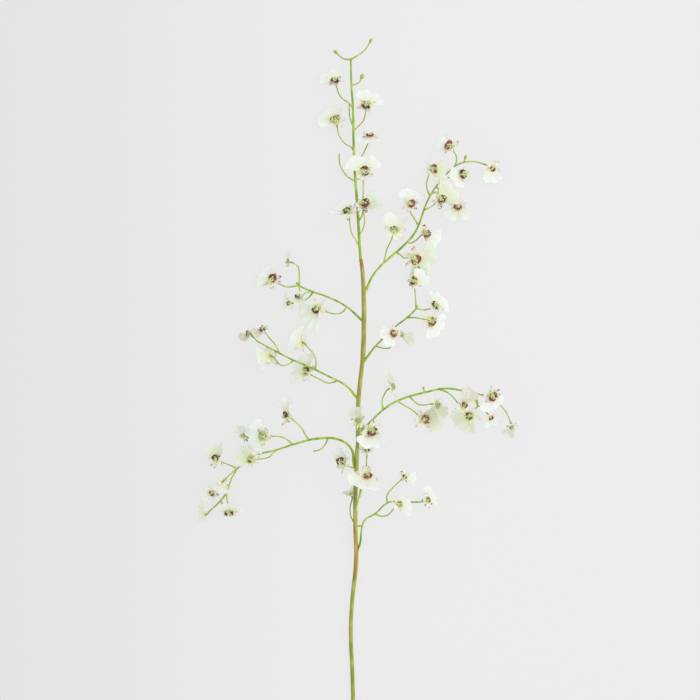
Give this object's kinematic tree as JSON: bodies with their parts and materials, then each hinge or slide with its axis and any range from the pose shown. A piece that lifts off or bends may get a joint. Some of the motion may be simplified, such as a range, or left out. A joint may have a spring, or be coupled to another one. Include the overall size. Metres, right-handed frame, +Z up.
{
  "type": "orchid flower spike",
  "caption": "Cut spray of dancing-lady orchid lying on its back: a stem with side branches and small white blossoms, for a vase, a table or a set.",
  "frame": {"origin": "middle of the spray's outline in X and Y, at the height of the table that it lies on", "axes": "+Y along the stem from the cut end to the tip, +X to the right of the spray, +Z up from the table"},
  "size_m": [0.4152, 0.9712, 0.051],
  "materials": {
    "stem": "satin olive green, browner at the joints",
    "branch": "satin yellow green",
    "petal": "matt cream white, thin enough to let light through",
    "crest": "matt burgundy"
  },
  "bodies": {
    "root": {"blossom_01": "petal", "blossom_02": "petal", "blossom_03": "petal", "blossom_04": "petal", "blossom_05": "petal", "blossom_06": "petal", "blossom_07": "petal", "blossom_08": "petal", "blossom_09": "petal", "blossom_10": "petal", "blossom_11": "petal", "blossom_12": "petal", "blossom_13": "petal", "blossom_14": "petal", "blossom_15": "petal", "blossom_16": "petal", "blossom_17": "petal", "blossom_18": "petal", "blossom_19": "petal", "blossom_20": "petal", "blossom_21": "petal", "blossom_22": "petal", "blossom_23": "petal", "blossom_24": "petal", "blossom_25": "petal", "blossom_27": "petal", "blossom_28": "petal", "blossom_29": "petal", "blossom_30": "petal", "blossom_31": "petal", "blossom_32": "petal", "blossom_33": "petal", "blossom_34": "petal", "blossom_36": "petal", "blossom_37": "petal", "blossom_39": "petal", "blossom_41": "petal", "blossom_42": "petal", "blossom_43": "petal", "blossom_44": "petal", "blossom_45": "petal", "blossom_46": "petal", "blossom_47": "petal", "blossom_49": "petal", "blossom_50": "petal", "blossom_51": "petal", "blossom_53": "petal", "blossom_54": "petal", "blossom_56": "petal", "blossom_57": "petal", "blossom_58": "petal", "left_branch_1": "branch", "left_branch_2": "branch", "left_branch_3": "branch", "main_stem": "stem", "right_branch_1": "branch", "right_branch_2": "branch", "right_branch_3": "branch", "right_branch_4": "branch", "tip_stem": "branch"}
  },
  "joints": []
}
